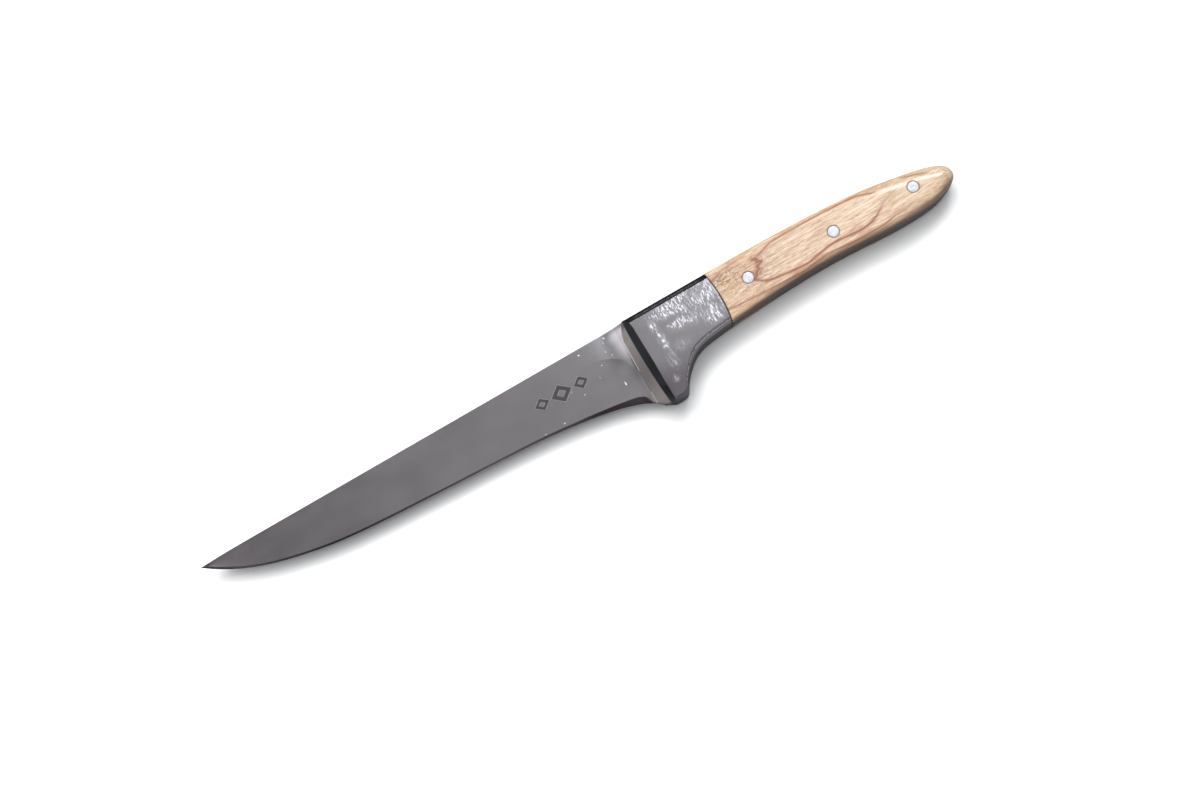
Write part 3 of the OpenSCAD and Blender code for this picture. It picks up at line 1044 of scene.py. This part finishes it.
def wood_material():
    s = Shader("olive_wood")
    mm = s.coordinates()
    # broad, slow bands along the board
    warp = s.noise(s.mapped(mm, (0.035, 0.11, 0.11)), 1.0, 2.0)
    band = s.noise(s.mapped(mm, (0.03, 0.32, 0.32), 0.03), 1.0, 3.0, 0.55, 0.5)
    tone = s.mix(s.spread(band, 0.3, 0.7), (0.58, 0.41, 0.26), (0.47, 0.305, 0.18))
    tone = s.mix(s.spread(warp, 0.35, 0.7, 0.0, 0.5), tone, (0.65, 0.50, 0.36))
    # pinkish heart inside the closed figure
    loop = s.attribute("loop")
    tone = s.mix(s.math("MULTIPLY", loop, 0.75), tone, (0.585, 0.43, 0.315))
    # fibres and short pores along the grain
    fibre = s.noise(s.mapped(mm, (0.14, 1.5, 1.5), 0.04), 1.0, 4.0, 0.7, 0.3)
    tone = s.mix(s.spread(fibre, 0.42, 0.62, 0.0, 0.5), tone, (0.345, 0.21, 0.13))
    pore = s.noise(s.mapped(mm, (0.4, 2.6, 2.6), 0.02, (4, 0, 0)), 1.0, 2.0, 0.6)
    tone = s.mix(s.spread(pore, 0.50, 0.64, 0.0, 0.6), tone, (0.30, 0.175, 0.11))
    fleck = s.noise(s.mapped(mm, (0.16, 1.9, 1.9), -0.05, (9, 3, 0)), 1.0, 3.0, 0.6, 0.3)
    tone = s.mix(s.spread(fleck, 0.48, 0.64, 0.0, 0.55), tone, (0.76, 0.645, 0.50))
    # wavy figure near the bolster
    wave = s.noise(s.mapped(mm, (0.7, 1.3, 1.3), -0.5, (1, 5, 0)), 1.0, 3.0, 0.65, 1.2)
    wave = s.math("MULTIPLY", s.spread(wave, 0.47, 0.55, 0.0, 0.9), s.attribute("curl"))
    tone = s.mix(wave, tone, (0.20, 0.11, 0.08))
    # growth-ring lines, broken up a little by noise
    ragged = s.noise(s.mapped(mm, (1.2, 3.0, 3.0)), 1.0, 3.0, 0.6)
    line = s.math("MULTIPLY", s.attribute("figure"), s.spread(ragged, 0.25, 0.6, 0.65, 1.05), clamp=True)
    tone = s.mix(line, tone, (0.26, 0.095, 0.05))
    # painted shade towards the bottom edge, then near-black painted shade at the seam and round the pins
    tone = s.mix(s.attribute("shade"), tone, (0.19, 0.105, 0.065))
    tone = s.mix(s.attribute("joint_shade"), tone, (0.06, 0.035, 0.03))
    s.link(tone, s.surface.inputs["Base Color"])
    s.link(s.spread(fibre, 0.3, 0.7, 0.40, 0.52), s.surface.inputs["Roughness"])
    # the butt is polished by the hand, the rest is drier
    along = s.node("SeparateXYZ")
    s.link(mm, along.inputs[0])
    s.link(s.spread(along.outputs["X"], 108.0, 124.0, 0.2, 1.0), s.surface.inputs["Coat Weight"])
    s.surface.inputs["Coat Roughness"].default_value = 0.17
    height = s.math("ADD", fibre, s.math("MULTIPLY", pore, -0.6))
    s.link(s.bump(height, 0.12, 0.0002), s.surface.inputs["Normal"])
    return s.material


def pin_material():
    s = Shader("pin_aluminium")
    mm = s.coordinates()
    lines = s.noise(s.mapped(mm, (6.0, 0.8, 0.8), 0.5), 1.0, 3.0, 0.6)
    cloud = s.noise(mm, 1.4, 2.0)
    tone = s.mix(s.spread(cloud, 0.35, 0.65), (0.52, 0.525, 0.565), (0.66, 0.67, 0.71))
    tone = s.mix(s.spread(lines, 0.4, 0.7, 0.0, 0.25), tone, (0.50, 0.51, 0.56))
    s.link(tone, s.surface.inputs["Base Color"])
    s.surface.inputs["Metallic"].default_value = 0.35
    s.link(s.spread(lines, 0.3, 0.7, 0.35, 0.5), s.surface.inputs["Roughness"])
    s.link(s.bump(lines, 0.1, 0.0001), s.surface.inputs["Normal"])
    return s.material


def floor_material():
    s = Shader("studio_floor")
    mm = s.coordinates()
    cloud = s.noise(mm, 0.004, 1.0)
    pale = s.mix(cloud, (0.90, 0.90, 0.90), (0.91, 0.91, 0.91))
    # painted shade: to every ray but the camera's the sheet is dark grey, so the knife mirrors dark and gets
    # little bounce light from below; the camera sees it pale
    seen = s.node("LightPath").outputs["Is Camera Ray"]
    s.link(s.mix(seen, (0.22, 0.23, 0.235), pale), s.surface.inputs["Base Color"])
    s.surface.inputs["Roughness"].default_value = 1.0
    s.surface.inputs["Specular IOR Level"].default_value = 0.0
    # far from the knife the sheet runs out into an evenly lit wall
    reach = s.node("VectorMath", operation="LENGTH")
    s.link(mm, reach.inputs[0])
    far = s.math("MULTIPLY", s.spread(reach.outputs["Value"], 500.0, 1500.0), seen)
    shown = s.blend(far, s.surface.outputs[0], s.even("Emission"))
    s.link(shown, s.output.inputs["Surface"])
    return s.material


# ---------------------------------------------------------------- build

steel = steel_material()
wood = wood_material()
bright = pin_material()


def add(obj, node, material):
    obj.data.materials.append(material)
    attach(obj, "root")
    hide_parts(node)
    return obj


def most(*values):
    """The largest of several values at each point."""
    total = values[0]
    for value in values[1:]:
        total = np.maximum(total, value)
    return total


def painted_edge_shade(x, y, low, bevel):
    """Painted shade: a darker strip on the honed bevel, a faint part all over towards the tip, and the
    bolster's toe.
    """
    strip = 1 - smooth(y, low + bevel - 0.12, low + bevel + 0.1)
    near_tip = 0.5 * (1 - smooth(x, -30, 80))
    toe = 0.75 * smooth(-y, 15, 28) * (x > 165)
    return np.where(x < BLADE_END, most(strip, near_tip), toe)


def painted_under_lines(x, y, z):
    """Two thin painted lines along the rounding under the bolster: a dark crease of painted shade and a
    bright line of painted highlight.
    """
    gap, _ = distance_to(guard_path, x, y)
    wide = steel_rounding(x, np.full_like(y, -20))
    on_round = (x > 166) * (x < seam_at(y)) * (y < -10) * (np.abs(z) > 3.5)
    # painted shade along the crease
    crease = 0.8 * bell(gap, 0.95 * wide, 0.2) * on_round
    # painted highlight above it
    painted_glint = 0.55 * bell(gap, 0.62 * wide, 0.2) * on_round * smooth(x, 168, 172)
    return crease, painted_glint


def painted_shade_lines(x, y, low, bevel):
    """Painted shade: behind the collar's facet, below the spine, and the honed bevel at the tip."""
    facet = smooth(x, facet_x(y) - 0.05, facet_x(y) + 0.15) * (1 - smooth(x, cheek_x(y) - 0.15, cheek_x(y)))
    spine = 0.9 * (x > 163) * (x < seam_at(y)) * smooth(y, -2.15, -1.95)
    tip = smooth(-x, -14, -4) * smooth(-y, -low - bevel - 0.1, -low - bevel + 0.1)
    return most(facet, spine, tip)


def steel_marks(x, y, z):
    """Per-point values that drive the steel."""
    low = low_y(np.minimum(x, SEAM_END))
    bevel = table(x, BEVEL)
    on_blade = x < BLADE_END
    crease, painted_glint = painted_under_lines(x, y, z)
    on_collar = (x >= collar_front(y)) * (x < 164)
    return {
        # bevel: painted shade on the honed bevel, towards the tip and on the bolster's toe
        "bevel": painted_edge_shade(x, y, low, bevel),
        "mark": np.where((z > 0) & on_blade, etched_mark(x, y), 0),
        # nick: bright nicks, plus painted highlights along the bolster's spine bevel, rear edge and rounding
        # underneath
        "nick": np.where(z > 0, most(nick_marks(x, y), painted_bolster_highlights(x, y), painted_glint), 0),
        # ricasso: a smoother polish plus painted highlight and painted light near the collar
        "ricasso": ricasso_polish_and_highlight(x, y) * on_blade,
        # collar: the facet painted darker, painted shade for the dim reflection it shows
        "collar": 0.9 * on_collar * (1 - smooth(x, facet_x(y) - 0.15, facet_x(y) + 0.1)),
        # seam: painted shade, a near-black strip on the bolster in front of the seam groove
        "seam": (x > 180) * (x < seam_at(y) + 0.01) * (1 - smooth(seam_at(y) - x, 0.15, 0.5)),
        "cheek": worn_cheek(x, y) * smooth(x, 165, 167) * smooth(np.abs(z), 6.1, 6.24),
        # chamfer: painted shade lines on the steep chamfer, below the spine, at the tip and along the crease
        # under the bolster
        "chamfer": most(painted_shade_lines(x, y, low, bevel), crease),
    }


def add_steel():
    points, quads = steel_piece()
    marks = steel_marks(*points.T)
    obj = make_mesh("steel_blade", points, quads, marks, sharp_below=35)
    return add(obj, "blade", steel)


add_steel()
add(scale_piece("scale_front", 1), "front_scale", wood)
add(scale_piece("scale_back", -1), "back_scale", wood)
for number, node in enumerate(PIN_NODES):
    add(pin_piece(f"pin_{number + 1}", node), node, bright)

# ---------------------------------------------------------------- floor, light and camera


# Half the floor's width in metres
FLOOR_HALF = 12.0


def add_floor():
    mesh = bpy.data.meshes.new("studio_floor")
    signs = [(-1, -1), (1, -1), (1, 1), (-1, 1)]
    corners = [(a * FLOOR_HALF, b * FLOOR_HALF, cad_low.z) for a, b in signs]
    mesh.from_pydata(corners, [], [(0, 1, 2, 3)])
    obj = bpy.data.objects.new("studio_floor", mesh)
    bpy.context.scene.collection.objects.link(obj)
    obj.data.materials.append(floor_material())


def add_area(name, toward, distance, size, power, colour=(1, 1, 1)):
    """A soft round lamp that shines on the knife's middle. The sky alone makes the reflections."""
    lamp = bpy.data.lights.new(name, "AREA")
    lamp.shape = "DISK"
    lamp.size = size
    lamp.energy = power
    lamp.color = colour
    obj = bpy.data.objects.new(name, lamp)
    direction = Vector(toward).normalized()
    obj.location = direction * distance
    obj.rotation_euler = direction.to_track_quat("Z", "Y").to_euler()
    obj.visible_glossy = False
    bpy.context.scene.collection.objects.link(obj)


# Soft lobes of the sky: direction, angles in degrees of the full core and of the rim, strength
SKY_LOBES = [
    # above the flat faces
    ((0.25, 0.16, 1), 0, 31, 0.215),
    # in front of the ricasso and of the collar
    ((-0.74, 0.16, 0.9), 4, 28, 1.1),
    ((-0.92, -0.05, 0.4), 10, 26, 0.55),
    # streak on the butt, and glow under the bolster
    ((0.36, 0.52, 0.77), 4, 13, 12.0),
    ((0.0, -0.77, 0.64), 4, 13, 0.3),
    # low at the four corners, then at both sides
    *[((a, b, 0.3 * math.sqrt(2)), 8, 38, 0.32) for a, b in ((1, 1), (-1, 1), (-1, -1), (1, -1))],
    ((0.0, -0.8, 0.6), 10, 42, 0.28),
    ((0.0, 0.8, 0.6), 10, 32, 0.2),
]


def sky_lobe(s, where, direction, inner, outer, low, high):
    """Level from low to high as the angle from a direction falls from outer to inner degrees."""
    dot = s.node("VectorMath", operation="DOT_PRODUCT")
    s.link(where, dot.inputs[0])
    dot.inputs[1].default_value = Vector(direction).normalized()
    rim, core = math.cos(math.radians(outer)), math.cos(math.radians(inner))
    return s.spread(dot.outputs["Value"], rim, core, low, high, "SMOOTHERSTEP")


def world_light():
    """Dim sky with soft bright lobes, so that the steel has something to mirror."""
    world = bpy.data.worlds.new("studio")
    world.use_nodes = True
    s = Nodes(world.node_tree)
    where = s.node("TexCoord").outputs["Generated"]
    # the first lobe also carries the sky's least level and its change of colour
    sky = sky_lobe(s, where, (0.28, 0.15, 1), 12, 36, 0.025, 0.205)
    level = sky
    for direction, inner, outer, strength in SKY_LOBES:
        level = s.math("ADD", level, sky_lobe(s, where, direction, inner, outer, 0.0, strength))
    back = s.node("Background")
    s.link(s.mix(sky, (0.95, 0.98, 1.0), (1.0, 0.965, 0.995)), back.inputs["Color"])
    s.link(level, back.inputs["Strength"])
    # beyond the floor's far edge the camera sees a pale wall
    seen = s.node("LightPath").outputs["Is Camera Ray"]
    shown = s.blend(seen, back.outputs[0], s.even("Background"))
    s.link(shown, s.node("OutputWorld").inputs[0])
    bpy.context.scene.world = world


def add_camera():
    tilt = math.radians(10.5)
    roll = math.radians(29.9)
    distance = 553.7 * MM
    target = Vector(place([(143.5, -18.5, 0)])[0])
    along = Vector((1, 0, 0))
    up_knife = Vector((0, math.cos(tilt), math.sin(tilt)))
    toward = Vector((0, -math.sin(tilt), math.cos(tilt)))
    right = math.cos(roll) * along - math.sin(roll) * up_knife
    up = math.sin(roll) * along + math.cos(roll) * up_knife
    camera = bpy.data.cameras.new("camera")
    camera.lens = 50
    camera.sensor_width = 36
    camera.clip_start = 0.01
    obj = bpy.data.objects.new("camera", camera)
    turn = Matrix((right, up, toward)).transposed().to_4x4()
    obj.matrix_world = Matrix.Translation(target + toward * distance) @ turn
    bpy.context.scene.collection.objects.link(obj)
    bpy.context.scene.camera = obj


add_floor()
world_light()
key_height = math.radians(56)
key = (-0.26 * math.cos(key_height), 0.965 * math.cos(key_height), math.sin(key_height))
add_area("key", key, distance=3.0, size=2.2, power=57)
add_area("fill", (0.1, 0.3, 1), distance=2.4, size=3.0, power=42)
add_camera()
bpy.context.scene.view_settings.view_transform = "Standard"
bpy.context.scene.view_settings.look = "None"
